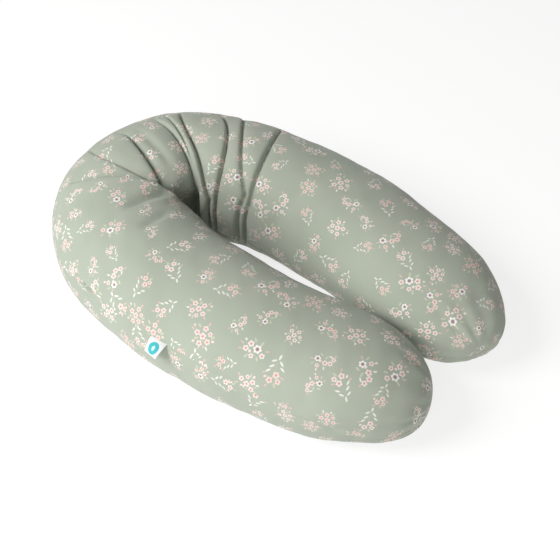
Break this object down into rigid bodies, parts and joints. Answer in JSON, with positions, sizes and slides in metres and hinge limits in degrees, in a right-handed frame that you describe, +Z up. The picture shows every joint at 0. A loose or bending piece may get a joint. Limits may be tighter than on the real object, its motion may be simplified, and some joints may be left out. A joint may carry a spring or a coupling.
{
  "type": "nursing pillow",
  "caption": "Long fibre-filled nursing pillow bent into a U, with a printed zipped cover, an inner casing and a side label; its arms flex outwards.",
  "frame": {"origin": "middle of the base of the pillow's box, on the surface that it lies on", "axes": "+Z up, +Y towards the back of the bend, +X towards the arm with the zip"},
  "size_m": [0.5382, 0.7926, 0.1819],
  "materials": {
    "printed_cotton": "soft matt sage-green cotton with a small floral print",
    "white_cotton": "plain white cotton",
    "fibre": "white polyester hollow fibre",
    "zip_tape": "sage-green woven tape",
    "zip_coil": "sage-green nylon coil",
    "zip_metal": "nickel-plated zinc",
    "woven_label": "white woven satin label with a plain turquoise leaf disc"
  },
  "bodies": {
    "bend": {"cover_top_bend": "printed_cotton", "cover_bottom_bend": "printed_cotton", "casing_top_bend": "white_cotton", "casing_bottom_bend": "white_cotton", "filling_bend": "fibre"},
    "left_arm": {"cover_top_left_arm": "printed_cotton", "cover_bottom_left_arm": "printed_cotton", "casing_top_left_arm": "white_cotton", "casing_bottom_left_arm": "white_cotton", "filling_left_arm": "fibre", "side_label": "woven_label"},
    "right_arm": {"cover_top_right_arm": "printed_cotton", "cover_bottom_right_arm": "printed_cotton", "casing_top_right_arm": "white_cotton", "casing_bottom_right_arm": "white_cotton", "filling_right_arm": "fibre", "zip_tape_upper": "zip_tape", "zip_tape_lower": "zip_tape", "zip_coil_upper": "zip_coil", "zip_coil_lower": "zip_coil", "zip_top_stop_upper": "zip_metal", "zip_top_stop_lower": "zip_metal", "zip_bottom_stop": "zip_metal"},
    "slider": {"zip_slider": "zip_metal"},
    "pull": {"zip_pull": "zip_metal"}
  },
  "joints": [
    {"name": "left_arm_flex", "type": "hinge", "parent": "bend", "child": "left_arm", "pos_m": [-0.26699, 0.05108, 0], "axis": [0, 0, -1], "range_deg": [0, 22]},
    {"name": "right_arm_flex", "type": "hinge", "parent": "bend", "child": "right_arm", "pos_m": [0.26519, 0.05108, 0], "axis": [0, 0, 1], "range_deg": [0, 22]},
    {"name": "zip_slider_travel", "type": "hinge", "parent": "right_arm", "child": "slider", "pos_m": [-0.61418, 0.0181, 0.09233], "axis": [0.0045, 0.024, -0.9997], "range_deg": [0, 15.5]},
    {"name": "zip_pull_swing", "type": "hinge", "parent": "slider", "child": "pull", "pos_m": [0.26645, -0.02568, 0.0958], "axis": [-0.1988, -0.0138, 0.9799], "range_deg": [0, 170]}
  ]
}
